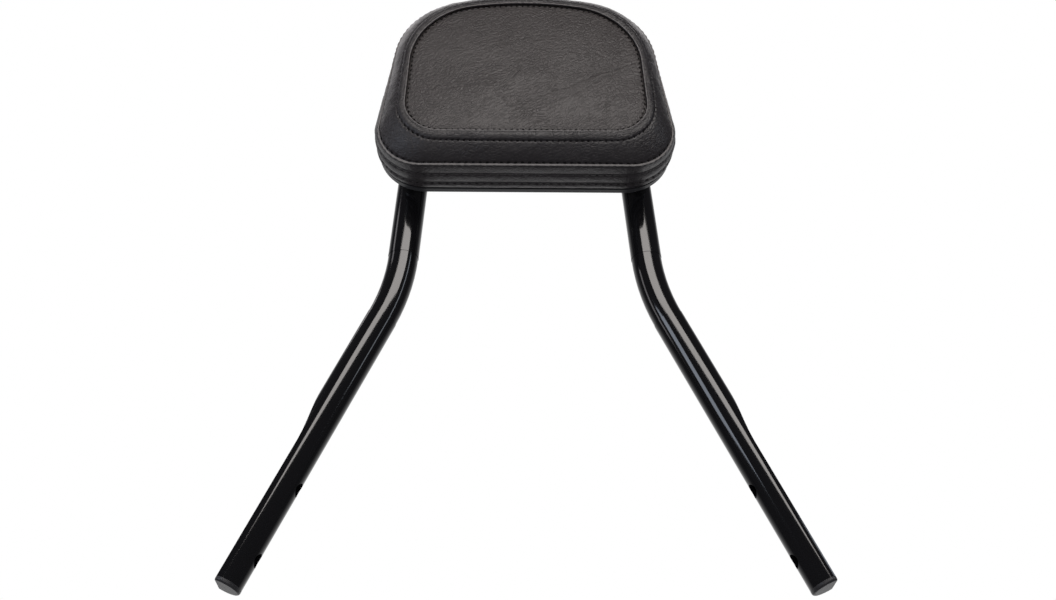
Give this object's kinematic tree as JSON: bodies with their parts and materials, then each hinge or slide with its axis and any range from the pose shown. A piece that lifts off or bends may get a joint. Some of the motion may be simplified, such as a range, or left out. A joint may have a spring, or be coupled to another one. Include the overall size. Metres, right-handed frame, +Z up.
{
  "type": "motorcycle backrest",
  "caption": "Bent tube hoop with two splayed, drilled legs that holds a stitched and padded backrest behind a motorcycle's seat.",
  "frame": {"origin": "centre of the bounding box's bottom, between the two leg ends", "axes": "+Z up along the hoop, -Y out of the padded face, +X to the right as seen from in front of the pad"},
  "size_m": [0.3972, 0.0786, 0.4559],
  "materials": {
    "gloss_steel": "gloss black powder coat",
    "black_plastic": "satin black moulding",
    "black_cloth": "black non-woven cloth",
    "board": "birch plywood",
    "black_hide": "grained, satin",
    "panel_hide": "grained, satin",
    "foam": "moulded foam",
    "zinc_steel": "zinc plated"
  },
  "bodies": {
    "root": {"hoop_tube": "gloss_steel", "left_end_cap": "black_plastic", "right_end_cap": "black_plastic", "upper_strap": "gloss_steel", "lower_strap": "gloss_steel", "back_plate": "black_plastic", "dust_cover": "black_cloth", "back_board": "board", "lower_boxing": "black_hide", "middle_boxing": "black_hide", "upper_boxing": "black_hide", "left_side_flap": "black_hide", "right_side_flap": "black_hide", "bevel_panel": "black_hide", "seam_roll": "black_hide", "centre_panel": "panel_hide", "foam_core": "foam", "tee_nuts": "zinc_steel", "pad_bolts": "zinc_steel", "spring_washers": "zinc_steel", "flat_washers": "zinc_steel"}
  },
  "joints": []
}
